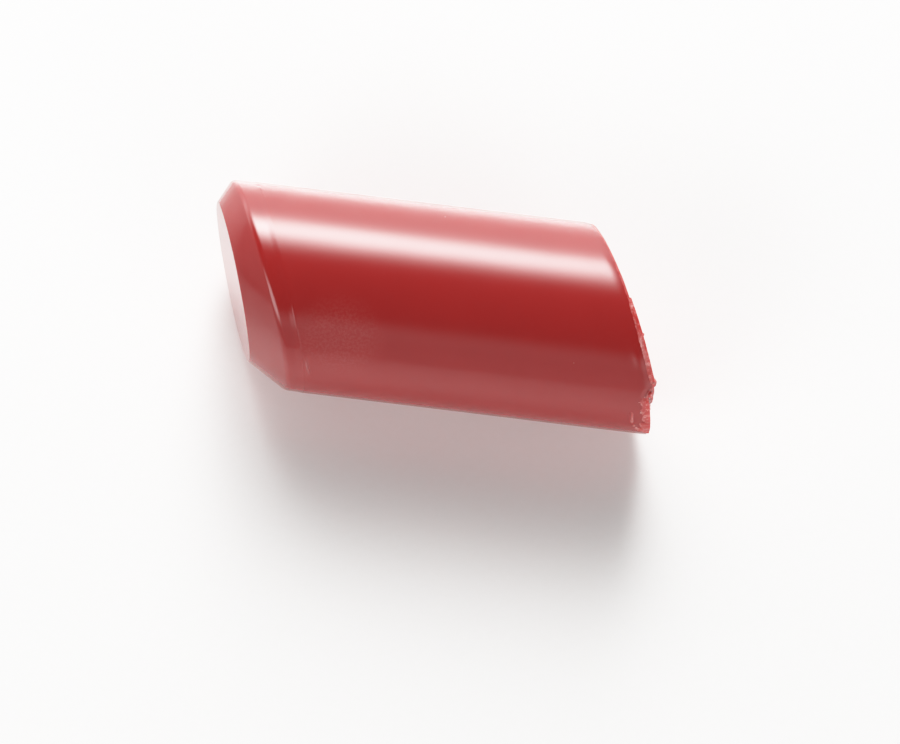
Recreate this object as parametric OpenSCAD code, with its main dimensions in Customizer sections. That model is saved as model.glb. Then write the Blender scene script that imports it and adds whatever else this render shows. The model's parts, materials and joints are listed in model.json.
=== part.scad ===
// A moulded lipstick bullet that has been cut off at its base and lies on its side.
// X runs along the bullet from the moulded tip to the cut end, Y points to the side where the
// slanted tip reaches furthest, and Z is up. The origin is the middle of the flattened strip on
// the underside of the barrel, so the whole bullet stands on Z = 0. Angles around the barrel
// start at +Y and rise through the top (90) to the -Y side (180).

/* [Barrel] */
// Diameter of the moulded barrel, which is the size that a holder cup grips
barrel_d = 12.1; // [10:0.1:15]
// Length of the barrel along its axis, from the mould seam to the cut
barrel_len = 20.6; // [15:0.1:40]
// Width of the strip along the underside that has flattened under the bullet's own weight
rest_flat_w = 1.4; // [1.2:0.1:2]

/* [Moulded tip] */
// Length along the axis of the collar between the bevel and the mould seam
collar_len = 1.2; // [0.8:0.1:3]
// Step down in radius from the barrel to the collar, where the two halves of the mould met
seam_step = 0.05; // [0.03:0.01:0.1]
// Length of the bevel along the axis
bevel_len = 1.55; // [1:0.05:3]
// Diameter of the flat face at the end of the tip
face_d = 9.2; // [6:0.1:9.4]
// Lean of the flat face from square across, in degrees
face_slant = 18.8; // [10:0.1:22]
// Lean of the edge between bevel and collar, in degrees
bevel_slant = 22.1; // [10:0.1:24]
// Lean of the mould seam, in degrees
seam_slant = 20.3; // [15:0.1:22]

/* [Cut end] */
// Lean of the cut from square across, in degrees
cut_slant = 24.6; // [0:0.1:35]
// How far in from the -Y side the cut gives way to a snapped hollow
snap_w = 1.45; // [0.8:0.05:2.5]
// Depth of the snapped hollow behind the plane of the cut
snap_depth = 0.7; // [0.3:0.05:1.2]

/* [Torn wax] */
// Width of the lip that the blade peeled up along the edge of the cut
lip_w = 0.45; // [0.3:0.05:0.8]
// Thickness of the peeled lip
lip_t = 0.25; // [0.15:0.05:0.4]
// How far the peeled lip hangs over the cut
lip_over = 0.12; // [0.05:0.01:0.3]
// Length along the barrel of the torn flap beside the snapped hollow
flap_len = 1; // [0.5:0.1:2]
// Thickness of the torn flap
flap_t = 0.15; // [0.1:0.05:0.3]
// Length of the flake that stands on the cut
flake_len = 0.4; // [0.2:0.05:0.8]
// Thickness of that flake
flake_t = 0.12; // [0.08:0.01:0.2]
// Gap between that flake and the peeled lip
flake_gap = 0.05; // [0.02:0.01:0.2]
// Size of the larger crumb
crumb_d = 0.5; // [0.3:0.05:0.8]
// Size of the smaller crumb
small_crumb_d = 0.35; // [0.2:0.05:0.5]

/* [Hidden] */
$fn = 96;

WAX = "#A8302F";
TORN_WAX = "#C4615C";

barrel_r = barrel_d / 2;
collar_r = barrel_r - seam_step;
// the flattened strip lowers the axis by the depth of its chord
axis_h = sqrt(pow(barrel_r, 2) - pow(rest_flat_w / 2, 2));

// where the slanted planes cross the axis
seam_x = -barrel_len / 2;
bevel_x = seam_x - collar_len;
face_x = bevel_x - bevel_len;
cut_x = barrel_len / 2;

// the snapped hollow in plan: its inner edge, the two ends of its floor, which are shares of its
// width in from the -Y side, and its outer edge, which is a little shallower than the floor
SNAP_FLOOR = [0.6, 0.35];
SNAP_EDGE = 0.8;
snap_y = snap_w - barrel_r;
snap_floor_y = [snap_w * SNAP_FLOOR[0] - barrel_r, snap_w * SNAP_FLOOR[1] - barrel_r];
snap_edge_depth = snap_depth * SNAP_EDGE;

// the parts of the rim that the torn pieces take up, in degrees around the barrel
LIP_ARC = [93, 134];
FLAP_ARC = [150, 196];
FLAKE_ANGLE = 111;
ARC_STEPS = 8;

// where the two crumbs lie across the hollow's inner edge, as shares of the hollow's width
CRUMB_SHARES = [0.15, -0.22];

OUTSIDE = 2 * barrel_d + barrel_len; // reaches past the bullet in every direction
SKIN = 0.01; // thickness of the discs that a hull is drawn between
ROOT = 1; // how far the tip runs on inside the barrel

// X of a slanted plane at a given Y
function leaning(x, slant, y) = x - tan(slant) * y;

// a round bar of any radius along the bullet's axis
module bar(r) {
    translate([0, 0, axis_h]) rotate([0, 90, 0]) cylinder(r = r, h = 2 * OUTSIDE, center = true);
}

// everything between two upright planes that lean in plan
module between(x_a, slant_a, x_b, slant_b) {
    w = barrel_d;
    translate([0, 0, -barrel_d]) linear_extrude(3 * barrel_d) polygon([
        [leaning(x_a, slant_a, -w), -w],
        [leaning(x_b, slant_b, -w), -w],
        [leaning(x_b, slant_b, w), w],
        [leaning(x_a, slant_a, w), w],
    ]);
}

// a point of an arc around the barrel's axis, seen along it, i steps from the arc's start
function on_arc(arc, r, i) =
    let (a = arc[0] + (arc[1] - arc[0]) * i / ARC_STEPS) r * [cos(a), sin(a)];

// a curved slab along the barrel, between two angles and two radii
module slab(arc, r_in, r_out) {
    translate([-OUTSIDE, 0, axis_h]) rotate([90, 0, 90]) linear_extrude(2 * OUTSIDE) polygon([
        for (i = [0:ARC_STEPS]) on_arc(arc, r_in, i),
        for (i = [ARC_STEPS:-1:0]) on_arc(arc, r_out, i),
    ]);
}

// a thin round disc across the axis, sheared to lean in plan and thinned to its rim, so that a
// hull over it has one ring of corners there
module leaning_disc(x, slant, r) {
    shear = [[1, -tan(slant), 0, x], [0, 1, 0, 0], [0, 0, 1, axis_h]];
    multmatrix(shear) rotate([0, 90, 0]) cylinder(r1 = r, r2 = r / 2, h = SKIN);
}

// the wax that snapped away beyond the cut, which leaves a shallow hollow at the -Y side
module snapped_away() {
    side = -barrel_d;
    translate([0, 0, -barrel_d]) linear_extrude(3 * barrel_d) polygon([
        [leaning(cut_x, cut_slant, snap_y), snap_y],
        [leaning(cut_x, cut_slant, snap_floor_y[0]) - snap_depth, snap_floor_y[0]],
        [leaning(cut_x, cut_slant, snap_floor_y[1]) - snap_depth, snap_floor_y[1]],
        [leaning(cut_x, cut_slant, -barrel_r) - snap_edge_depth, -barrel_r],
        [leaning(cut_x, cut_slant, -barrel_r) - snap_edge_depth, side],
        [OUTSIDE, side],
        [OUTSIDE, snap_y],
    ]);
}

// the stretch of the rim that the peeled lip takes up, out to any radius
module lip_zone(r_out) {
    intersection() {
        slab(LIP_ARC, barrel_r - lip_t, r_out);
        between(cut_x - lip_w, cut_slant, cut_x + lip_over, cut_slant);
    }
}

// the patch of the barrel's skin that the torn flap takes up, out to any radius
module flap_zone(r_out) {
    intersection() {
        slab(FLAP_ARC, barrel_r - flap_t, r_out);
        between(cut_x - snap_depth - flap_len, cut_slant, cut_x, cut_slant);
    }
}

module barrel() {
    intersection() {
        bar(barrel_r);
        between(seam_x, seam_slant, cut_x, cut_slant);
    }
}

// the face, the bevel and the collar, which runs on inside the barrel past the mould seam
module tip() {
    hull() {
        leaning_disc(face_x, face_slant, face_d / 2);
        leaning_disc(bevel_x, bevel_slant, collar_r);
        leaning_disc(seam_x + ROOT, seam_slant, collar_r);
    }
}

// a rounded nugget of wax, a little longer than it is wide, just inside the barrel's rim
module nugget(share, behind_cut, size) {
    y = snap_y + share * snap_w;
    z = axis_h + sqrt(pow(barrel_r - size / 2, 2) - pow(y, 2));
    middle = size * 0.8;
    end = size * 0.6;
    reach = size * 0.2;
    translate([leaning(cut_x, cut_slant, y) - behind_cut, y, z]) hull() {
        sphere(d = middle, $fn = 16);
        translate([0, reach, 0]) sphere(d = end, $fn = 16);
        translate([0, -reach, 0]) sphere(d = end, $fn = 16);
    }
}

module bullet() {
    color(WAX) difference() {
        union() {
            barrel();
            tip();
        }
        translate([-OUTSIDE, -OUTSIDE, -barrel_d]) cube([2 * OUTSIDE, 2 * OUTSIDE, barrel_d]);
        snapped_away();
        lip_zone(barrel_d);
        flap_zone(barrel_d);
    }
}

module peeled_lip() {
    color(TORN_WAX) lip_zone(barrel_r);
}

module torn_flap() {
    color(TORN_WAX) difference() {
        flap_zone(barrel_r);
        snapped_away();
    }
}

// stands on the cut, just inside the rim and clear of the peeled lip
module edge_flake() {
    r = barrel_r - lip_t - flake_gap - flake_len / 2;
    y = r * cos(FLAKE_ANGLE);
    z = axis_h + r * sin(FLAKE_ANGLE);
    color(TORN_WAX) translate([leaning(cut_x, cut_slant, y), y, z]) rotate([0, 0, cut_slant])
        translate([0, -flake_t / 2, -flake_len / 2]) cube([flake_len / 2, flake_t, flake_len]);
}

// one crumb clings to the rim where the cut meets the snapped hollow, and a smaller one to the
// slope of the hollow
module crumbs() {
    color(TORN_WAX) difference() {
        union() {
            nugget(CRUMB_SHARES[0], 0, crumb_d);
            nugget(CRUMB_SHARES[1], snap_depth / 2, small_crumb_d);
        }
        difference() {
            barrel();
            snapped_away();
        }
        lip_zone(barrel_d);
    }
}

bullet();
peeled_lip();
torn_flap();
edge_flake();
crumbs();
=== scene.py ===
"""A lipstick bullet that has been cut off at its base, lying on white coated card.

Lengths are in metres. X runs along the bullet from the moulded tip to the cut, Z is up, and angles
around the barrel start at +Y and rise through the top (90 degrees) to the -Y side (180 degrees).
"""

import json
import math

import bmesh
import bpy
from mathutils import Matrix, Vector, noise


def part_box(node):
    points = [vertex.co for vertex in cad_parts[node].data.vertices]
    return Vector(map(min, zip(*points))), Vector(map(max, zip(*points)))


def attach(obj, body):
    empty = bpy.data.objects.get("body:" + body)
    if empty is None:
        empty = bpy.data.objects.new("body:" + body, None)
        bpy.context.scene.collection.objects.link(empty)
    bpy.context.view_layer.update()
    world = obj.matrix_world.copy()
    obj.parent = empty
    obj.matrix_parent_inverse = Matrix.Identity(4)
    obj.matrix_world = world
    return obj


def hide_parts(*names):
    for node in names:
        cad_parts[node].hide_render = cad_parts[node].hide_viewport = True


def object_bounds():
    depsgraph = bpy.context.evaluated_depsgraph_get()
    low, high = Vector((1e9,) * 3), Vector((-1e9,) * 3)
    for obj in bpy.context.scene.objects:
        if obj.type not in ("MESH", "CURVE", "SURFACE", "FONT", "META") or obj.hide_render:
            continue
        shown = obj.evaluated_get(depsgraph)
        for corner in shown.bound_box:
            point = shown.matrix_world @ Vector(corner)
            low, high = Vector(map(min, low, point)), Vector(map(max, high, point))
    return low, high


bl_info = {
    "name": "Cut lipstick bullet",
    "version": (1, 0, 0),
    "blender": (4, 5, 0),
    "location": "3D View > Sidebar > Lipstick",
    "description": "Models a moulded lipstick bullet with its torn cut end, and a small studio for it",
    "category": "Add Mesh",
}

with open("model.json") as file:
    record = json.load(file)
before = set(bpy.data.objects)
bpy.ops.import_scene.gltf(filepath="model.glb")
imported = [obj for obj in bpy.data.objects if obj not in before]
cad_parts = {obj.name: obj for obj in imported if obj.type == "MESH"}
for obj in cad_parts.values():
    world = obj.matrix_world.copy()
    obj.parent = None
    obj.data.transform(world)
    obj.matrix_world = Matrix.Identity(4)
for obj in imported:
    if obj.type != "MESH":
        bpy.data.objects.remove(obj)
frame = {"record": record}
CAD_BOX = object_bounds()

MM = 0.001
BODY = "root"
MOUNTS = {mount["name"]: mount for mount in frame["record"]["mounts"]}
BARREL_RADIUS = MOUNTS["barrel"]["dims"]["r_mm"] * MM
AXIS_HEIGHT = MOUNTS["barrel"]["pos_m"][2]
SIDES = 256  # corners of a ring, which keeps each side of the barrel under 0.15 mm
TEAR_REACH = 1.6 * MM  # how far back from the cut the snap disturbs the wax

# The step at the seam, in profile: where it is, in millimetres from the seam, and the share of the step.
SEAM_PROFILE = ((-0.4, 0), (-0.3, 0.12), (-0.2, 0.5), (-0.1, 0.88))

# Radii in millimetres of the rings on the cut face, which lie close as far in as the wax is torn.
CUT_RINGS = [6.0 - 0.1 * i for i in range(18)] + [3.8, 3.2, 2.6, 2.0, 1.4, 0.8]


# ---------------------------------------------------------------- settings


class LipstickSizes(bpy.types.PropertyGroup):
    """Sizes of the wax"""

    barrel_length: bpy.props.FloatProperty(
        name="Barrel length",
        description="Along the axis, from the mould seam to the cut",
        default=20.6 * MM,
        unit="LENGTH",
    )
    collar_length: bpy.props.FloatProperty(
        name="Collar length",
        description="Along the axis, from the bevel to the mould seam",
        default=1.2 * MM,
        unit="LENGTH",
    )
    bevel_length: bpy.props.FloatProperty(
        name="Bevel length",
        description="Along the axis, from the flat face to the collar",
        default=1.55 * MM,
        unit="LENGTH",
    )
    face_radius: bpy.props.FloatProperty(
        name="Face radius",
        description="Radius of the flat face at the end of the tip",
        default=4.6 * MM,
        unit="LENGTH",
    )
    seam_step: bpy.props.FloatProperty(
        name="Seam step",
        description="How much smaller the collar's radius is than the barrel's",
        default=0.02 * MM,
        unit="LENGTH",
    )
    seam_flash: bpy.props.FloatProperty(
        name="Seam flash",
        description="Height of the thin line of wax that squeezed into the mould's joint",
        default=0.02 * MM,
        unit="LENGTH",
    )
    collar_rounding: bpy.props.FloatProperty(
        name="Collar rounding",
        description="Radius where the bevel turns into the collar",
        default=0.55 * MM,
        unit="LENGTH",
    )
    face_rounding: bpy.props.FloatProperty(
        name="Face rounding",
        description="Radius where the flat face turns into the bevel",
        default=0.15 * MM,
        unit="LENGTH",
    )
    cut_rounding: bpy.props.FloatProperty(
        name="Cut rounding",
        description="How far the edge of the cut is rounded",
        default=0.04 * MM,
        unit="LENGTH",
    )
    face_lean: bpy.props.FloatProperty(
        name="Face lean",
        description="Lean of the flat face from square across",
        default=math.radians(18.8),
        subtype="ANGLE",
    )
    bevel_lean: bpy.props.FloatProperty(
        name="Bevel lean",
        description="Lean of the edge between bevel and collar",
        default=math.radians(22.1),
        subtype="ANGLE",
    )
    seam_lean: bpy.props.FloatProperty(
        name="Seam lean",
        description="Lean of the mould seam",
        default=math.radians(20.3),
        subtype="ANGLE",
    )
    cut_lean: bpy.props.FloatProperty(
        name="Cut lean",
        description="Lean of the cut from square across",
        default=math.radians(24.6),
        subtype="ANGLE",
    )
    snap_width: bpy.props.FloatProperty(
        name="Snap width",
        description="How far in from the -Y side the cut gives way to a snapped hollow",
        default=1.45 * MM,
        unit="LENGTH",
    )
    snap_depth: bpy.props.FloatProperty(
        name="Snap depth",
        description="Depth of the snapped hollow behind the cut",
        default=0.7 * MM,
        unit="LENGTH",
    )
    lip_width: bpy.props.FloatProperty(
        name="Lip width",
        description="Width of the lip that the blade peeled up",
        default=0.42 * MM,
        unit="LENGTH",
    )
    lip_lift: bpy.props.FloatProperty(
        name="Lip lift",
        description="How far the lip's inner edge stands off the barrel",
        default=0.06 * MM,
        unit="LENGTH",
    )
    crumb_size: bpy.props.FloatProperty(
        name="Crumb size",
        description="Size of the larger crumb",
        default=0.5 * MM,
        unit="LENGTH",
    )


class LipstickColours(bpy.types.PropertyGroup):
    """Colours and gloss of the wax"""

    moulded: bpy.props.StringProperty(
        name="Moulded wax",
        description="Colour of the moulded skin, as an sRGB hex value",
        default="#942726",
    )
    bloom: bpy.props.StringProperty(
        name="Bloom",
        description="Colour of the faint haze on the skin, as an sRGB hex value",
        default="#B4605C",
    )
    torn: bpy.props.StringProperty(
        name="Torn wax",
        description="Colour of freshly torn wax, as an sRGB hex value",
        default="#AE3936",
    )
    roughness: bpy.props.FloatProperty(
        name="Skin roughness",
        description="Roughness of the moulded barrel",
        default=0.18,
        min=0.0,
        max=1.0,
        subtype="FACTOR",
    )


class LipstickStudio(bpy.types.PropertyGroup):
    """Camera and lights"""

    view_azimuth: bpy.props.FloatProperty(
        name="View azimuth",
        description="Direction of the camera, from -Y towards +X",
        default=math.radians(-1.24),
        subtype="ANGLE",
    )
    view_elevation: bpy.props.FloatProperty(
        name="View elevation",
        description="Height of the camera above the horizon",
        default=math.radians(71.5),
        subtype="ANGLE",
    )
    view_roll: bpy.props.FloatProperty(
        name="View roll",
        description="How far the camera is turned about its line of sight",
        default=math.radians(8.12),
        subtype="ANGLE",
    )
    view_distance: bpy.props.FloatProperty(
        name="View distance",
        description="Distance from the camera to the point that it looks at",
        default=355.5 * MM,
        unit="LENGTH",
    )
    lens: bpy.props.FloatProperty(
        name="Lens",
        description="Focal length in millimetres on a 36 mm wide sensor",
        default=239.9,
    )
    key_elevation: bpy.props.FloatProperty(
        name="Key elevation",
        description="Height of the main light above the horizon",
        default=math.radians(40.2),
        subtype="ANGLE",
    )
    key_azimuth: bpy.props.FloatProperty(
        name="Key azimuth",
        description="Direction of the main light, from +Y towards +X",
        default=math.radians(-2),
        subtype="ANGLE",
    )
    key_radiance: bpy.props.FloatProperty(
        name="Key radiance",
        description="Brightness of the main light, where lit white card is about 1.5",
        default=28.0,
    )
    room_light: bpy.props.FloatProperty(
        name="Room light",
        description="Scales the walls and every light but the main one",
        default=1.0,
    )


# ---------------------------------------------------------------- modelling helpers


def start_piece(name):
    """Names the primitive that was just added, applies its place and opens it for editing."""
    piece = bpy.context.object
    piece.name = name
    piece.data.name = name
    bpy.ops.object.transform_apply(location=True, rotation=True, scale=True)
    bpy.ops.object.mode_set(mode="EDIT")
    return piece


def deselect_everything():
    """Leaves no object selected, so that an operator acts on the new piece alone."""
    if bpy.context.object and bpy.context.object.mode != "OBJECT":
        bpy.ops.object.mode_set(mode="OBJECT")
    bpy.ops.object.select_all(action="DESELECT")


def select(piece, kind, test):
    """Selects the vertices, edges or faces for which test is true, and nothing else."""
    bpy.ops.mesh.select_mode(type={"verts": "VERT", "edges": "EDGE", "faces": "FACE"}[kind])
    bpy.ops.mesh.select_all(action="DESELECT")
    mesh = bmesh.from_edit_mesh(piece.data)
    chosen = [part for part in getattr(mesh, kind) if test(part)]
    for part in chosen:
        part.select_set(True)
    mesh.select_flush_mode()
    bmesh.update_edit_mesh(piece.data)
    return len(chosen)


def apply_modifier(piece, kind, **settings):
    """Adds a modifier with its settings and applies it."""
    modifier = piece.modifiers.new(kind.lower(), kind)
    for key, value in settings.items():
        setattr(modifier, key, value)
    bpy.ops.object.modifier_apply(modifier=modifier.name)


def push(piece, distance, weight, direction="NORMAL", texture=None):
    """Moves each point by a distance times its weight, along its normal or an axis.

    weight is a function of a point. It is cut off at 0 and 1. A texture makes the move uneven.
    """
    group = piece.vertex_groups.new(name="push")
    for vertex in piece.data.vertices:
        share = weight(vertex.co)
        if share > 0:
            group.add([vertex.index], min(share, 1), "REPLACE")
    settings = {"texture": texture, "texture_coords": "LOCAL"} if texture else {}
    apply_modifier(piece, "DISPLACE", strength=distance, mid_level=0, direction=direction,
                   vertex_group=group.name, **settings)
    piece.vertex_groups.clear()


def ramp(value, start, end):
    """Rises smoothly from 0 at start to 1 at end, either of which may be the larger."""
    share = min(max((value - start) / (end - start), 0), 1)
    return share * share * (3 - 2 * share)


def swell(value, middle, reach):
    """A smooth rise to 1 at the middle, which dies away within about twice the reach."""
    return math.exp(-((value - middle) / reach) ** 2)


def clouds(name, size, depth=2):
    """A smooth random texture whose lumps are about this size."""
    texture = bpy.data.textures.new(name, "CLOUDS")
    texture.noise_scale = size
    texture.noise_depth = depth
    return texture


def finish_piece(piece, material, node, sharp=35):
    """Shades a piece, gives it its material and puts it on the CAD body in place of its node."""
    bpy.ops.object.mode_set(mode="OBJECT")
    bpy.ops.object.shade_smooth_by_angle(angle=math.radians(sharp))
    piece.data.materials.clear()
    piece.data.materials.append(material)
    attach(piece, BODY)
    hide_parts(node)


def leaning(x, lean, y):
    """X of a leaning plane at a given Y."""
    return x - math.tan(lean) * y


def lean_ring(x, lean):
    """Leans the selected ring, which is square across at x, and keeps it on its cylinder."""
    centre = (x, 0, AXIS_HEIGHT)
    stretch = 1 / math.cos(lean)
    bpy.ops.transform.rotate(value=-lean, orient_axis="Z", orient_type="GLOBAL", center_override=centre)
    bpy.ops.transform.resize(value=(stretch, stretch, 1), center_override=centre)


def square_ring(x, lean):
    """Undoes lean_ring."""
    centre = (x, 0, AXIS_HEIGHT)
    shrink = math.cos(lean)
    bpy.ops.transform.resize(value=(shrink, shrink, 1), center_override=centre)
    bpy.ops.transform.rotate(value=lean, orient_axis="Z", orient_type="GLOBAL", center_override=centre)


def next_ring(ring, new):
    """Extrudes the selected ring to a new place along the axis, radius and lean."""
    x, lean, radius = ring
    new_x, new_lean, new_radius = new
    grow = new_radius / radius
    bpy.ops.mesh.extrude_region_move(TRANSFORM_OT_translate={"value": (0, 0, 0)})
    square_ring(x, lean)
    bpy.ops.transform.translate(value=(new_x - x, 0, 0))
    bpy.ops.transform.resize(value=(1, grow, grow), center_override=(new_x, 0, AXIS_HEIGHT))
    lean_ring(new_x, new_lean)
    return new


def from_axis(point):
    """Distance of a point from the barrel's axis."""
    return math.hypot(point.y, point.z - AXIS_HEIGHT)


def around(point):
    """Angle of a point around the barrel, in degrees from 0 to 360."""
    return math.degrees(math.atan2(point.z - AXIS_HEIGHT, point.y)) % 360


def on_barrel(x, degrees, height=0):
    """A point on the barrel's skin, or that far above it."""
    r = BARREL_RADIUS + height
    a = math.radians(degrees)
    return Vector((x, r * math.cos(a), AXIS_HEIGHT + r * math.sin(a)))


# ---------------------------------------------------------------- materials


def linear(hex_value):
    """An sRGB hex value as linear RGBA."""
    parts = [int(hex_value[i:i + 2], 16) / 255 for i in (1, 3, 5)]
    curve = [c / 12.92 if c <= 0.04045 else ((c + 0.055) / 1.055) ** 2.4 for c in parts]
    return (*curve, 1.0)


def add(tree, kind, inputs=None, **settings):
    """Adds a node. A value in inputs is set on the socket, and a socket is linked to it."""
    node = tree.nodes.new("ShaderNode" + kind)
    for key, value in settings.items():
        setattr(node, key, value)
    for key, value in (inputs or {}).items():
        if isinstance(value, bpy.types.NodeSocket):
            tree.links.new(value, node.inputs[key])
        else:
            node.inputs[key].default_value = value
    return node


def new_material(name):
    """An empty material's tree, with its output and the Object coordinates."""
    material = bpy.data.materials.new(name)
    material.use_nodes = True
    tree = material.node_tree
    tree.nodes.clear()
    place = add(tree, "TexCoord").outputs["Object"]
    return material, tree, place


def moulded_wax(sizes, colours):
    """Lipstick wax, poured into a polished metal mould: a saturated body under a glossy skin.

    Light goes a little way into the wax, so its edges glow. The skin has a faint bloom of oil in
    one place, a few pale specks of undissolved wax, and it is matt where it was cut.
    """
    material, tree, place = new_material("Moulded lipstick wax")
    base, bloom, torn = (linear(c) for c in (colours.moulded, colours.bloom, colours.torn))

    # a patch of bloom on the -Y side behind the seam, broken up by a fine grain
    patch_at, patch_reach, grain_size = on_barrel(-6.3 * MM, 134), 3.2 * MM, 0.16 * MM
    patch = add(tree, "Mapping", {
        "Vector": place,
        "Location": [-c / patch_reach for c in patch_at],
        "Scale": [1 / patch_reach] * 3,
    })
    reach = add(tree, "VectorMath", {0: patch.outputs[0]}, operation="LENGTH")
    inside = add(tree, "MapRange", {
        "Value": reach.outputs["Value"], "From Min": 1.0, "From Max": 0.35, "To Min": 0.0, "To Max": 1.0,
    }, interpolation_type="SMOOTHSTEP")
    grain = add(tree, "TexNoise", {
        "Vector": place, "Scale": 1 / grain_size, "Detail": 3.0, "Roughness": 0.7,
    })
    grains = add(tree, "MapRange", {
        "Value": grain.outputs["Fac"], "From Min": 0.42, "From Max": 0.62, "To Min": 0.15, "To Max": 1.0,
    })
    haze = add(tree, "Math", {0: inside.outputs[0], 1: grains.outputs[0]}, operation="MULTIPLY")
    thin_haze = add(tree, "Math", {0: haze.outputs[0], 1: 0.18}, operation="MULTIPLY")

    # pigment that isn't stirred in quite evenly
    swirl_size, weakest = 4 * MM, 0.9
    swirl = add(tree, "TexNoise", {"Vector": place, "Scale": 1 / swirl_size, "Detail": 2.0})
    stirred = add(tree, "Mix", {
        "Factor": swirl.outputs["Fac"], "A": base, "B": [c * weakest for c in base[:3]] + [1.0],
    }, data_type="RGBA")

    # pale specks of wax, far apart, whose radius is a share of the distance between them
    speck_spacing, speck_share = 2.6 * MM, 0.01
    cells = add(tree, "TexVoronoi", {"Vector": place, "Scale": 1 / speck_spacing})
    specks = add(tree, "MapRange", {
        "Value": cells.outputs["Distance"], "From Min": 1.6 * speck_share, "From Max": speck_share,
        "To Min": 0.0, "To Max": 0.7,
    })

    # the cut face: everything from just short of the leaning plane of the cut, with a ragged edge
    ragged_size, ragged = 0.5 * MM, 0.05 * MM
    across = add(tree, "VectorMath", {
        0: place, 1: (math.cos(sizes.cut_lean), math.sin(sizes.cut_lean), 0),
    }, operation="DOT_PRODUCT")
    cut_at = sizes.barrel_length / 2 * math.cos(sizes.cut_lean)
    edge_noise = add(tree, "TexNoise", {"Vector": place, "Scale": 1 / ragged_size, "Detail": 2.0})
    wander = add(tree, "MapRange", {
        "Value": edge_noise.outputs["Fac"], "From Min": 0.3, "From Max": 0.7,
        "To Min": -ragged, "To Max": ragged,
    })
    edge = add(tree, "Math", {0: across.outputs["Value"], 1: wander.outputs[0]}, operation="ADD")
    cut = add(tree, "MapRange", {
        "Value": edge.outputs[0], "From Min": cut_at - 0.16 * MM, "From Max": cut_at - 0.06 * MM,
        "To Min": 0.0, "To Max": 1.0,
    })

    hazed = add(tree, "Mix", {
        "Factor": thin_haze.outputs[0], "A": stirred.outputs["Result"], "B": bloom,
    }, data_type="RGBA")
    speckled = add(tree, "Mix", {
        "Factor": specks.outputs[0], "A": hazed.outputs["Result"], "B": linear("#E0A9A0"),
    }, data_type="RGBA")
    coloured = add(tree, "Mix", {
        "Factor": cut.outputs[0], "A": speckled.outputs["Result"], "B": torn,
    }, data_type="RGBA")

    # the tip was moulded against polished steel and is glossier than the barrel, and the bloom and
    # above all the cut are rougher
    polished, bloom_rough, cut_rough = colours.roughness * 0.6, 0.06, 0.3
    seam_across = add(tree, "VectorMath", {
        0: place, 1: (math.cos(sizes.seam_lean), math.sin(sizes.seam_lean), 0),
    }, operation="DOT_PRODUCT")
    seam_at = -sizes.barrel_length / 2 * math.cos(sizes.seam_lean)
    polish = add(tree, "MapRange", {
        "Value": seam_across.outputs["Value"], "From Min": seam_at - 0.02 * MM, "From Max": seam_at,
        "To Min": polished, "To Max": colours.roughness,
    })
    hazy_rough = add(tree, "Math", {0: haze.outputs[0], 1: bloom_rough, 2: polish.outputs[0]},
                     operation="MULTIPLY_ADD")
    rough = add(tree, "Math", {0: cut.outputs[0], 1: cut_rough, 2: hazy_rough.outputs[0]},
                operation="MULTIPLY_ADD")

    # the skin's own micro texture, and the drag marks of the blade on the cut
    drag_size, skin_size, skin_height, drag_height = 2.2 * MM, 0.3 * MM, 0.003 * MM, 3.0
    drag = add(tree, "TexWave", {
        "Vector": place, "Scale": 1 / drag_size, "Distortion": 2.5, "Detail": 3.0, "Detail Scale": 2.0,
    }, wave_type="BANDS", bands_direction="Y")
    marks = add(tree, "Math", {0: drag.outputs["Fac"], 1: cut.outputs[0]}, operation="MULTIPLY")
    skin = add(tree, "TexNoise", {"Vector": place, "Scale": 1 / skin_size, "Detail": 2.0})
    height = add(tree, "Math", {0: marks.outputs[0], 1: drag_height, 2: skin.outputs["Fac"]},
                 operation="MULTIPLY_ADD")
    bump = add(tree, "Bump", {"Strength": 0.35, "Distance": skin_height, "Height": height.outputs[0]})

    wax = add(tree, "BsdfPrincipled", {
        "Base Color": coloured.outputs["Result"],
        "Roughness": rough.outputs[0],
        "IOR": 1.5,
        "Subsurface Weight": 0.25,
        "Subsurface Radius": (1.0, 0.25, 0.2),
        "Subsurface Scale": 0.5 * MM,
        "Normal": bump.outputs[0],
    })
    add(tree, "OutputMaterial", {"Surface": wax.outputs[0]})
    return material


def torn_wax(colours, name, painted_crest_highlight):
    """Lipstick wax that has been torn. The crests of its crumple carry painted highlights: they are painted
    paler.
    """
    material, tree, place = new_material(name)
    crumple_size, crumple_height = 0.22 * MM, 0.012 * MM
    crumple = add(tree, "TexNoise", {
        "Vector": place, "Scale": 1 / crumple_size, "Detail": 4.0, "Roughness": 0.65,
    })
    # painted highlights: the crests of the crumple are painted towards pale pink, as far as the last
    # argument allows
    light = add(tree, "MapRange", {
        "Value": crumple.outputs["Fac"], "From Min": 0.5, "From Max": 0.7, "To Min": 0.0, "To Max": painted_crest_highlight,
    })
    coloured = add(tree, "Mix", {
        "Factor": light.outputs[0], "A": linear(colours.torn), "B": linear("#E8B0AC"),
    }, data_type="RGBA")
    bump = add(tree, "Bump", {
        "Strength": 0.5, "Distance": crumple_height, "Height": crumple.outputs["Fac"],
    })
    wax = add(tree, "BsdfPrincipled", {
        "Base Color": coloured.outputs["Result"],
        "Roughness": 0.28,
        "IOR": 1.5,
        "Subsurface Weight": 0.35,
        "Subsurface Radius": (1.0, 0.3, 0.25),
        "Subsurface Scale": 0.4 * MM,
        "Normal": bump.outputs[0],
    })
    add(tree, "OutputMaterial", {"Surface": wax.outputs[0]})
    return material


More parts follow.
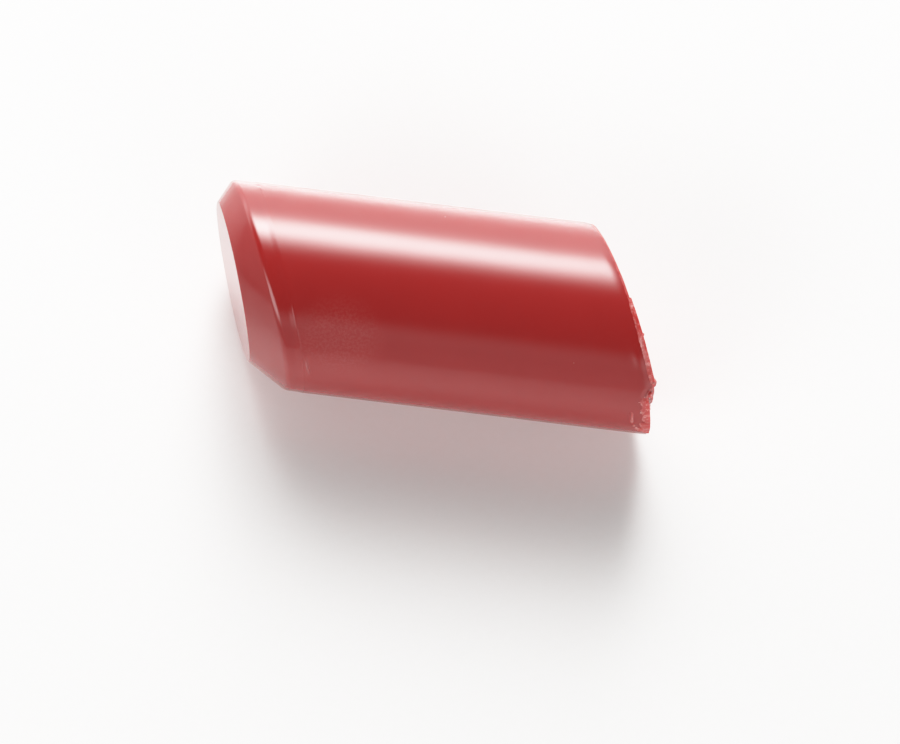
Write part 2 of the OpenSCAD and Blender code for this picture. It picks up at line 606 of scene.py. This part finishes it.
def coated_card():
    """White card with a clay coating: smooth, bright and slightly glossy, with a faint tooth."""
    material, tree, place = new_material("Coated white card")
    tooth_size, tooth_height = 0.5 * MM, 0.01 * MM
    tooth = add(tree, "TexNoise", {
        "Vector": place, "Scale": 1 / tooth_size, "Detail": 4.0, "Roughness": 0.6,
    })
    shade = add(tree, "Mix", {
        "Factor": tooth.outputs["Fac"], "A": linear("#F6F5F3"), "B": linear("#FCFBFA"),
    }, data_type="RGBA")
    bump = add(tree, "Bump", {
        "Strength": 0.15, "Distance": tooth_height, "Height": tooth.outputs["Fac"],
    })
    card = add(tree, "BsdfPrincipled", {
        "Base Color": shade.outputs["Result"],
        "Roughness": 0.3,
        "IOR": 2.3,  # above a coating's usual 1.6, for the sheen that it has against the light
        "Normal": bump.outputs[0],
    })
    add(tree, "OutputMaterial", {"Surface": card.outputs[0]})
    return material


# ---------------------------------------------------------------- pieces


class LIPSTICK_OT_bullet(bpy.types.Operator):
    """Model the wax bullet, with its tip, seam, barrel, cut and snapped hollow"""

    bl_idname = "lipstick.bullet"
    bl_label = "Wax bullet"

    def execute(self, context):
        sizes, colours = context.scene.lipstick_sizes, context.scene.lipstick_colours
        seam_x = -sizes.barrel_length / 2
        bevel_x = seam_x - sizes.collar_length
        face_x = bevel_x - sizes.bevel_length
        cut_x = sizes.barrel_length / 2
        collar_radius = BARREL_RADIUS - sizes.seam_step
        piece = self.tip_face(sizes, face_x)

        # the bevel, the collar and the step at the seam, with close rings behind it for its flaws
        ring = (face_x, sizes.face_lean, sizes.face_radius)
        ring = next_ring(ring, (bevel_x, sizes.bevel_lean, collar_radius))
        for offset, share in SEAM_PROFILE:
            radius = collar_radius + sizes.seam_step * share
            ring = next_ring(ring, (seam_x + offset * MM, sizes.seam_lean, radius))
        first, apart = seam_x - 0.03 * MM, 0.05 * MM
        for i in range(16):
            ring = next_ring(ring, (first + apart * i, sizes.seam_lean, BARREL_RADIUS))
        # the barrel, whose lean turns from the seam's to the cut's, and close rings before the cut
        near_cut = cut_x - TEAR_REACH
        start, rings = ring[0], 30
        for i in range(1, rings + 1):
            share = i / rings
            lean = sizes.seam_lean + (sizes.cut_lean - sizes.seam_lean) * share
            ring = next_ring(ring, (start + (near_cut - start) * share, lean, BARREL_RADIUS))
        close_rings = 16
        for i in range(1, close_rings + 1):
            x = near_cut + TEAR_REACH * i / close_rings
            ring = next_ring(ring, (x, sizes.cut_lean, BARREL_RADIUS))
        for radius in CUT_RINGS:
            ring = next_ring(ring, (cut_x, sizes.cut_lean, radius * MM))
        bpy.ops.mesh.edge_face_add()
        bpy.ops.mesh.poke()

        self.round_edges(piece, sizes, bevel_x, face_x, cut_x, collar_radius)
        bpy.ops.object.mode_set(mode="OBJECT")
        self.uneven_skin(piece, sizes, seam_x)
        self.snap_off(piece, sizes, cut_x)
        # the underside has flattened where the bullet rests on it
        bpy.ops.object.mode_set(mode="EDIT")
        select(piece, "verts", lambda vertex: vertex.co.z < 0)
        bpy.ops.transform.resize(value=(1, 1, 0), center_override=(0, 0, 0))
        finish_piece(piece, moulded_wax(sizes, colours), "bullet")
        return {"FINISHED"}

    def tip_face(self, sizes, face_x):
        """The flat face, as rings inside each other so that it shades evenly."""
        deselect_everything()
        bpy.ops.mesh.primitive_circle_add(
            vertices=SIDES, radius=sizes.face_radius, fill_type="NGON",
            location=(face_x, 0, AXIS_HEIGHT), rotation=(0, -math.pi / 2, 0),
        )
        piece = start_piece("wax_bullet")
        bpy.ops.mesh.select_all(action="SELECT")
        lean_ring(face_x, sizes.face_lean)
        for width in (0.3, 1.0, 1.2, 1.2):
            bpy.ops.mesh.inset(thickness=width * MM)
        bpy.ops.mesh.poke()
        bpy.ops.mesh.select_mode(type="EDGE")
        bpy.ops.mesh.select_all(action="DESELECT")
        bpy.ops.mesh.select_non_manifold()
        return piece

    def round_edges(self, piece, sizes, bevel_x, face_x, cut_x, collar_radius):
        """Rounds the rims of the face, the bevel and the cut."""
        flare = math.atan2(collar_radius - sizes.face_radius, sizes.bevel_length)
        rims = [
            (bevel_x, sizes.bevel_lean, collar_radius, sizes.collar_rounding * math.tan(flare / 2), 8),
            (face_x, sizes.face_lean, sizes.face_radius,
             sizes.face_rounding * math.tan((math.pi / 2 - flare) / 2), 4),
            (cut_x, sizes.cut_lean, BARREL_RADIUS, sizes.cut_rounding, 3),
        ]
        near = 0.01 * MM
        for x, lean, radius, offset, segments in rims:
            def on_rim(edge):
                return all(
                    abs(leaning(x, lean, v.co.y) - v.co.x) < near and abs(from_axis(v.co) - radius) < near
                    for v in edge.verts
                )
            if select(piece, "edges", on_rim) < SIDES:
                raise RuntimeError("a rim to round wasn't found")
            bpy.ops.mesh.bevel(offset=offset, offset_type="OFFSET", segments=segments, profile=0.5)

    def uneven_skin(self, piece, sizes, seam_x):
        """Makes the skin barely uneven, and adds the flash, the nick and the burr at the seam."""
        apply_modifier(piece, "DISPLACE", texture=clouds("uneven", 5 * MM), strength=0.02 * MM,
                       texture_coords="LOCAL")
        nick_depth, burr_height = 0.06 * MM, 0.07 * MM

        def behind_seam(point):
            """Distance behind the seam, in millimetres."""
            return (point.x - leaning(seam_x, sizes.seam_lean, point.y)) / MM

        def flash(point):
            """The broken line of wax in the mould's joint, which is faint over the top."""
            patchy = 0.5 + 0.5 * noise.noise(point / (0.45 * MM))
            shown = 0.25 + max(ramp(around(point), 66, 48), ramp(around(point), 108, 122))
            return swell(behind_seam(point), 0.02, 0.03) * patchy * shown

        def nick(point):
            """A dent in the seam, high on the +Y side."""
            return swell(behind_seam(point), 0, 0.1) * swell(around(point), 35, 1.2)

        def burr(point):
            """A short rough scrape just behind the seam, on the -Y side."""
            along = ramp(around(point), 145, 150) * ramp(around(point), 166, 160)
            middle = 0.3 + 0.012 * (around(point) - 155)
            return swell(behind_seam(point), middle, 0.06) * along * (0.7 + noise.noise(point / (0.2 * MM)))

        push(piece, sizes.seam_flash, flash)
        push(piece, -nick_depth, nick)
        push(piece, burr_height, burr)

    def snap_off(self, piece, sizes, cut_x):
        """Moves the cut back at the -Y side, where the wax snapped, and roughens what snapped."""
        snap_y = sizes.snap_width - BARREL_RADIUS
        wave, roll, swelling, tear = 0.08 * MM, 0.07 * MM, 0.04 * MM, 0.32 * MM

        def back(point):
            """Distance behind the plane of the cut."""
            return leaning(cut_x, sizes.cut_lean, point.y) - point.x

        def depth(point):
            """1 in the snapped hollow, less at its outer edge, and fading along the barrel."""
            wobble = noise.noise(point / (0.8 * MM)) * 0.16 + noise.noise(point / (0.25 * MM)) * 0.06
            inward = snap_y + wobble * MM - point.y
            step = ramp(inward, 0, sizes.snap_width * 0.4)
            rim = 1 - 0.2 * ramp(point.y, -5.5 * MM, -BARREL_RADIUS)
            return step * rim * min(max(1 - back(point) / TEAR_REACH, 0), 1)

        def torn(point):
            """1 on the snapped surface, which is rough."""
            return depth(point) * ramp(back(point), 0.35 * MM, 0.05 * MM)

        def wavy(point):
            """1 on the cut, which the blade left a little wavy."""
            return ramp(back(point), 0.15 * MM, 0)

        def rolled(point):
            """Rises to 1 at the upper edge of the cut, which the blade pressed down."""
            skin = ramp(from_axis(point), BARREL_RADIUS - 0.5 * MM, BARREL_RADIUS - 0.1 * MM)
            upper = ramp(point.z, AXIS_HEIGHT - 1 * MM, AXIS_HEIGHT + 3 * MM)
            return max(1 - back(point) / (0.7 * MM), 0) ** 2 * skin * upper

        def swollen(point):
            """1 on a low swelling beside the peeled lip."""
            return swell(back(point), 0.65 * MM, 0.3 * MM) * swell(around(point), 127, 9)

        roughness = clouds("torn", 0.35 * MM, 4)
        torn_weight = {vertex.index: torn(vertex.co) for vertex in piece.data.vertices}
        push(piece, wave, wavy, "X", clouds("wavy", 1.3 * MM))
        push(piece, -roll, rolled)
        push(piece, swelling, swollen)
        push(piece, -sizes.snap_depth, depth, "X")
        group = piece.vertex_groups.new(name="torn")
        for index, share in torn_weight.items():
            if share > 0:
                group.add([index], share, "REPLACE")
        apply_modifier(piece, "DISPLACE", texture=roughness, strength=tear, direction="X",
                       vertex_group="torn", texture_coords="LOCAL")
        piece.vertex_groups.clear()


def skin_strip(name, radius, x_from, x_to, lean, degrees_from, degrees_to, cuts):
    """A strip of thin skin around the barrel, between two leaning planes and two angles.

    cuts is the number of rows of faces across the strip.
    """
    tube_length = 40 * MM  # longer than the barrel, so that both planes cut it
    deselect_everything()
    bpy.ops.mesh.primitive_cylinder_add(
        vertices=2 * SIDES, radius=radius, depth=tube_length, end_fill_type="NOTHING",
        location=(0, 0, AXIS_HEIGHT), rotation=(0, math.pi / 2, 0),
    )
    piece = start_piece(name)
    across = (math.cos(lean), math.sin(lean), 0)
    bpy.ops.mesh.select_all(action="SELECT")
    bpy.ops.mesh.bisect(plane_co=(x_to, 0, 0), plane_no=across, clear_outer=True)
    bpy.ops.mesh.select_all(action="SELECT")
    bpy.ops.mesh.bisect(plane_co=(x_from, 0, 0), plane_no=across, clear_inner=True)
    select(piece, "faces", lambda face: not degrees_from < around(face.calc_center_median()) < degrees_to)
    bpy.ops.mesh.delete(type="FACE")
    # cut across the strip, so that its faces are about as long as they are wide
    for i in range(1, cuts):
        x = x_from + (x_to - x_from) * i / cuts
        bpy.ops.mesh.select_all(action="SELECT")
        bpy.ops.mesh.bisect(plane_co=(x, 0, 0), plane_no=across)
    return piece


class LIPSTICK_OT_peeled_lip(bpy.types.Operator):
    """Model the lip of skin that the blade peeled up along the cut"""

    bl_idname = "lipstick.peeled_lip"
    bl_label = "Peeled lip"

    def execute(self, context):
        sizes, colours = context.scene.lipstick_sizes, context.scene.lipstick_colours
        cut_x = sizes.barrel_length / 2
        # the strip starts under the barrel's skin, and only the lip itself rises out of it
        sunk, overhang, thickness = 0.04 * MM, 0.06 * MM, 0.09 * MM
        piece = skin_strip("wax_peeled_lip", BARREL_RADIUS - sunk, cut_x - 1.2 * sizes.lip_width,
                           cut_x + overhang, sizes.cut_lean, 91, 140, 15)
        bpy.ops.object.mode_set(mode="OBJECT")

        def lip(point):
            """Rises from the lip's inner side to 1 near the cut, and dies away at both ends."""
            wander = noise.noise(point / (0.7 * MM)) * 0.05 * MM
            back = leaning(cut_x, sizes.cut_lean, point.y) - point.x + wander
            ends = ramp(around(point), 93, 103) * ramp(around(point), 140, 133)
            inner = sizes.lip_width * (0.6 + 0.3 * ramp(around(point), 98, 120))
            slope = min(max((inner - back) / (inner - 0.05 * MM), 0), 1)
            return ends * slope * (0.85 + 0.4 * noise.noise(point / (0.4 * MM)))

        push(piece, sizes.lip_lift + sunk, lip)
        apply_modifier(piece, "DISPLACE", texture=clouds("peeled", 0.3 * MM, 3), strength=0.03 * MM,
                       texture_coords="LOCAL")
        apply_modifier(piece, "SOLIDIFY", thickness=thickness, offset=-1)
        # the last argument is how strong the painted highlights on the crests are
        material = torn_wax(colours, "Peeled lipstick wax", 0.6)
        finish_piece(piece, material, "peeled_lip", sharp=60)
        return {"FINISHED"}


class LIPSTICK_OT_torn_flap(bpy.types.Operator):
    """Model the wrinkled film of torn skin beside the snapped hollow"""

    bl_idname = "lipstick.torn_flap"
    bl_label = "Torn flap"

    def execute(self, context):
        sizes, colours = context.scene.lipstick_sizes, context.scene.lipstick_colours
        cut_x = sizes.barrel_length / 2
        edge = sizes.snap_depth * 0.7
        # the film starts under the barrel's skin, and its curl and its wrinkles rise out of it
        sunk, curl_height, wrinkle_height, thickness = 0.06 * MM, 0.09 * MM, 0.14 * MM, 0.05 * MM
        length = 1.25 * MM
        piece = skin_strip("wax_torn_flap", BARREL_RADIUS - sunk, cut_x - edge - length, cut_x - edge,
                           sizes.cut_lean, 144, 200, 26)

        def back(point):
            """Distance behind the plane of the cut, in millimetres."""
            return (leaning(cut_x, sizes.cut_lean, point.y) - point.x) / MM

        def arc(point):
            """1 on the oval along which the film's edge has curled, and less inside it."""
            along = math.radians(around(point) - 167) * BARREL_RADIUS / MM
            return math.hypot(along / 1.93, (back(point) - 0.6) / 1.04)

        def curl(point):
            """1 on the curl, which is a part of that oval."""
            ends = ramp(around(point), 158, 163) * ramp(around(point), 190, 182)
            return swell(arc(point), 0.97, 0.05) * ends

        def patch(point):
            """1 on the wrinkled film beside the hollow, whose inner side is ragged."""
            ragged = noise.noise(point / (0.5 * MM)) * 0.35 + noise.noise(point / (0.15 * MM)) * 0.12
            ends = ramp(around(point), 147, 153) * ramp(around(point), 188, 180)
            width = 0.42 + 0.25 * swell(around(point), 178, 7)
            return ends * ramp(back(point) - edge / MM + ragged, width + 0.1, width - 0.1)

        bpy.ops.object.mode_set(mode="OBJECT")
        push(piece, sunk + curl_height, curl)
        push(piece, sunk, patch)
        push(piece, wrinkle_height, patch, texture=clouds("wrinkled", 0.3 * MM, 4))
        apply_modifier(piece, "SOLIDIFY", thickness=thickness, offset=-1)
        # the last argument is how strong the painted highlights on the crests are
        material = torn_wax(colours, "Torn lipstick wax", 0.75)
        finish_piece(piece, material, "torn_flap", sharp=60)
        return {"FINISHED"}


class LIPSTICK_OT_edge_flake(bpy.types.Operator):
    """Model the thin flake that stands on the cut"""

    bl_idname = "lipstick.edge_flake"
    bl_label = "Edge flake"

    def execute(self, context):
        sizes, colours = context.scene.lipstick_sizes, context.scene.lipstick_colours
        low, high = (Vector(corner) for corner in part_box("edge_flake"))
        middle = (low + high) / 2
        deselect_everything()
        bpy.ops.mesh.primitive_cube_add(size=1, location=middle)
        piece = start_piece("wax_edge_flake")
        bpy.ops.transform.resize(value=high - low, center_override=middle)
        bpy.ops.mesh.select_all(action="SELECT")
        bpy.ops.mesh.subdivide(number_cuts=6)
        # thinner and lower towards its free edge, step by step
        steps, taper = 6, (1, 0.85, 0.9)
        for i in range(1, steps):
            select(piece, "verts", lambda v: v.co.x > low.x + (high.x - low.x) * i / steps)
            bpy.ops.transform.resize(value=taper, center_override=(middle.x, middle.y, low.z))
        bpy.ops.object.mode_set(mode="OBJECT")
        apply_modifier(piece, "DISPLACE", texture=clouds("flake", 0.12 * MM), strength=0.05 * MM,
                       texture_coords="LOCAL")
        apply_modifier(piece, "SUBSURF", levels=1, render_levels=1)
        # the last argument is how strong the painted highlights on the crests are
        material = torn_wax(colours, "Flaked lipstick wax", 0.8)
        finish_piece(piece, material, "edge_flake", sharp=60)
        return {"FINISHED"}


class LIPSTICK_OT_crumbs(bpy.types.Operator):
    """Model the two crumbs that cling to the rim beside the snapped hollow"""

    bl_idname = "lipstick.crumbs"
    bl_label = "Crumbs"

    def execute(self, context):
        sizes, colours = context.scene.lipstick_sizes, context.scene.lipstick_colours
        cut_x = sizes.barrel_length / 2
        # where each lies across the hollow's inner edge, as a share of the hollow's width, how far
        # behind the cut, and its size
        crumbs = [
            (0.15, 0, sizes.crumb_size),
            (-0.22, sizes.snap_depth / 2, sizes.crumb_size * 0.7),
        ]
        stretch = (0.75, 1.1, 1.05)  # longer along the edge of the cut than across it
        made = []
        for share, behind, size in crumbs:
            y = sizes.snap_width * (1 + share) - BARREL_RADIUS
            z = AXIS_HEIGHT + math.sqrt((BARREL_RADIUS - size / 2) ** 2 - y ** 2)
            place = (leaning(cut_x, sizes.cut_lean, y) - behind, y, z)
            deselect_everything()
            bpy.ops.mesh.primitive_ico_sphere_add(subdivisions=5, radius=size / 2, location=place)
            piece = start_piece("wax_crumbs")
            bpy.ops.mesh.select_all(action="SELECT")
            bpy.ops.transform.resize(value=stretch, center_override=place)
            bpy.ops.object.mode_set(mode="OBJECT")
            apply_modifier(piece, "DISPLACE", texture=clouds("crumb", 0.22 * MM, 3), strength=0.14 * MM,
                           texture_coords="LOCAL")
            made.append(piece)
        for piece in made:
            piece.select_set(True)
        bpy.ops.object.join()
        piece = context.object
        piece.name = "wax_crumbs"
        # the last argument is how strong the painted highlights on the crests are
        material = torn_wax(colours, "Crumbled lipstick wax", 0.4)
        finish_piece(piece, material, "crumbs", sharp=60)
        return {"FINISHED"}


# ---------------------------------------------------------------- stage

# What the camera looks at: a point in front of the bullet, which leaves room for the shadow.
AIM = Vector((0.415 * MM, -3.97 * MM, AXIS_HEIGHT))

KEY_SPREAD = (11.5, 14.6)  # half width and half height of the main light, in degrees

# The lights besides the main one: azimuth from +Y towards +X, elevation, half width and half height
# in degrees, then how flat the panel is with 1 the softest, and its radiance.
PANELS = [
    ((-22, 41, 16, 15), 1, 15.0),  # softer side of the key
    ((0, 8, 55, 14), 2, 3.7),  # bright wall behind
    ((-50, 12, 22, 18), 2, 3.7),  # its left end
    ((-85, 12, 30, 20), 2, 0.9),  # wall at the left
    ((80, 8, 30, 14), 2, 2.5),  # wall at the right
    ((-138, 32, 28, 13), 2, 6.8),  # panel at the front left
    ((-138, 5, 28, 13), 2, 0.9),  # the glow under it
    ((138, 32, 28, 13), 2, 2.5),  # wall at the front right
    ((138, 7, 28, 13), 2, 6.0),  # low strip at the front right
    ((180, 20, 20, 24), 3, 0.8),  # wall behind the camera
]

# Where the camera's response leaves a straight line, where it reaches white, and how it bends between.
SHOULDER_START, SHOULDER_END, SHOULDER_BEND = 0.5, 1.8, 2.6


class LIPSTICK_OT_studio(bpy.types.Operator):
    """Lay down the white card, and set the camera and the soft lights"""

    bl_idname = "lipstick.studio"
    bl_label = "Studio"

    def execute(self, context):
        studio = context.scene.lipstick_studio
        self.card()
        self.camera(context.scene, studio)
        self.room(context.scene, studio)
        self.tone(context.scene.view_settings)
        return {"FINISHED"}

    def tone(self, view):
        """Rounds off the highlights as a camera does."""
        def shown(radiance):
            share = max((radiance - SHOULDER_START) / (SHOULDER_END - SHOULDER_START), 0)
            rounded = (1 - SHOULDER_START) * (1 - (1 - share) ** SHOULDER_BEND)
            return min(radiance, SHOULDER_START) + rounded

        view.view_transform = "Standard"
        view.use_curve_mapping = True
        mapping = view.curve_mapping
        mapping.clip_max_x = 2.0
        points = mapping.curves[3].points
        points[1].location = (1.0, shown(1.0))
        for radiance in (0.25, SHOULDER_START, 0.75, 1.25, 1.5, SHOULDER_END):
            points.new(radiance, shown(radiance))
        mapping.update()

    def card(self):
        """A large sheet of card under the bullet."""
        deselect_everything()
        bpy.ops.mesh.primitive_plane_add(size=2.0, location=(0, 0, CAD_BOX[0][2]))
        card = bpy.context.object
        card.name = "white_card"
        card.data.materials.append(coated_card())

    def camera(self, scene, studio):
        """A long lens, nearly overhead, turned a little about its line of sight."""
        azimuth, elevation, roll = studio.view_azimuth, studio.view_elevation, studio.view_roll
        back = Vector((math.sin(azimuth) * math.cos(elevation), -math.cos(azimuth) * math.cos(elevation),
                       math.sin(elevation)))
        right = Vector((math.cos(azimuth), math.sin(azimuth), 0))
        up = back.cross(right)
        turned_right = right * math.cos(roll) + up * math.sin(roll)
        turned_up = up * math.cos(roll) - right * math.sin(roll)
        data = bpy.data.cameras.new("camera")
        data.lens = studio.lens
        data.sensor_width = 36
        data.clip_start = 0.01
        camera = bpy.data.objects.new("camera", data)
        axes = Matrix((turned_right, turned_up, back)).transposed().to_4x4()
        camera.matrix_world = Matrix.Translation(AIM + back * studio.view_distance) @ axes
        scene.collection.objects.link(camera)
        scene.camera = camera

    def room(self, scene, studio):
        """Soft lights at a distance, between pale walls and a dark ceiling.

        Each light is a smooth oval glow in the world, and the world is their sum.
        """
        world = bpy.data.worlds.new("room")
        world.use_nodes = True
        tree = world.node_tree
        tree.nodes.clear()
        direction = add(tree, "SeparateXYZ", {0: add(tree, "TexCoord").outputs["Generated"]})
        height = add(tree, "Math", {0: direction.outputs["Z"]}, operation="ARCSINE").outputs[0]
        heading = add(tree, "Math", {0: direction.outputs["X"], 1: direction.outputs["Y"]},
                      operation="ARCTAN2").outputs[0]
        key_spread = (math.radians(angle) for angle in KEY_SPREAD)
        key = (studio.key_azimuth, studio.key_elevation, *key_spread, 1, studio.key_radiance)
        panels = [key] + [
            (*(math.radians(angle) for angle in angles), edge, radiance * studio.room_light)
            for angles, edge, radiance in PANELS
        ]
        total = None
        for azimuth, elevation, half_width, half_height, edge, radiance in panels:
            away = add(tree, "Math", {0: heading, 1: azimuth}, operation="SUBTRACT")
            away = add(tree, "Math", {0: away.outputs[0], 1: math.pi, 2: -math.pi}, operation="WRAP")
            sideways = add(tree, "Math", {0: away.outputs[0], 1: half_width}, operation="DIVIDE")
            above = add(tree, "Math", {0: height, 1: elevation}, operation="SUBTRACT")
            upwards = add(tree, "Math", {0: above.outputs[0], 1: half_height}, operation="DIVIDE")
            offset = add(tree, "CombineXYZ", {0: sideways.outputs[0], 1: upwards.outputs[0]})
            length = add(tree, "VectorMath", {0: offset.outputs[0]}, operation="LENGTH")
            faded = add(tree, "Math", {0: length.outputs["Value"], 1: 2.0 * edge}, operation="POWER")
            fade = add(tree, "Math", {0: faded.outputs[0], 1: -1.0}, operation="MULTIPLY")
            glow = add(tree, "Math", {0: fade.outputs[0]}, operation="EXPONENT")
            lit = add(tree, "Math", {0: glow.outputs[0], 1: radiance, 2: total or 0.0},
                      operation="MULTIPLY_ADD")
            total = lit.outputs[0]
        background = add(tree, "Background", {"Strength": total})
        add(tree, "OutputWorld", {"Surface": background.outputs[0]})
        scene.world = world


# ---------------------------------------------------------------- add-on


class LIPSTICK_PT_panel(bpy.types.Panel):
    """Lists the pieces of the lipstick bullet"""

    bl_idname = "LIPSTICK_PT_panel"
    bl_label = "Lipstick bullet"
    bl_space_type = "VIEW_3D"
    bl_region_type = "UI"
    bl_category = "Lipstick"

    def draw(self, context):
        for operator in OPERATORS:
            self.layout.operator(operator.bl_idname)
        for group in (context.scene.lipstick_sizes, context.scene.lipstick_colours,
                      context.scene.lipstick_studio):
            box = self.layout.box()
            for name in type(group).__annotations__:
                box.prop(group, name)


OPERATORS = (
    LIPSTICK_OT_bullet,
    LIPSTICK_OT_peeled_lip,
    LIPSTICK_OT_torn_flap,
    LIPSTICK_OT_edge_flake,
    LIPSTICK_OT_crumbs,
    LIPSTICK_OT_studio,
)
CLASSES = (LipstickSizes, LipstickColours, LipstickStudio, *OPERATORS, LIPSTICK_PT_panel)


def register():
    for cls in CLASSES:
        bpy.utils.register_class(cls)
    bpy.types.Scene.lipstick_sizes = bpy.props.PointerProperty(type=LipstickSizes)
    bpy.types.Scene.lipstick_colours = bpy.props.PointerProperty(type=LipstickColours)
    bpy.types.Scene.lipstick_studio = bpy.props.PointerProperty(type=LipstickStudio)


def unregister():
    del bpy.types.Scene.lipstick_studio
    del bpy.types.Scene.lipstick_colours
    del bpy.types.Scene.lipstick_sizes
    for cls in reversed(CLASSES):
        bpy.utils.unregister_class(cls)


def main():
    register()
    bpy.ops.lipstick.bullet()
    bpy.ops.lipstick.peeled_lip()
    bpy.ops.lipstick.torn_flap()
    bpy.ops.lipstick.edge_flake()
    bpy.ops.lipstick.crumbs()
    bpy.ops.lipstick.studio()


if __name__ == "__main__":
    main()
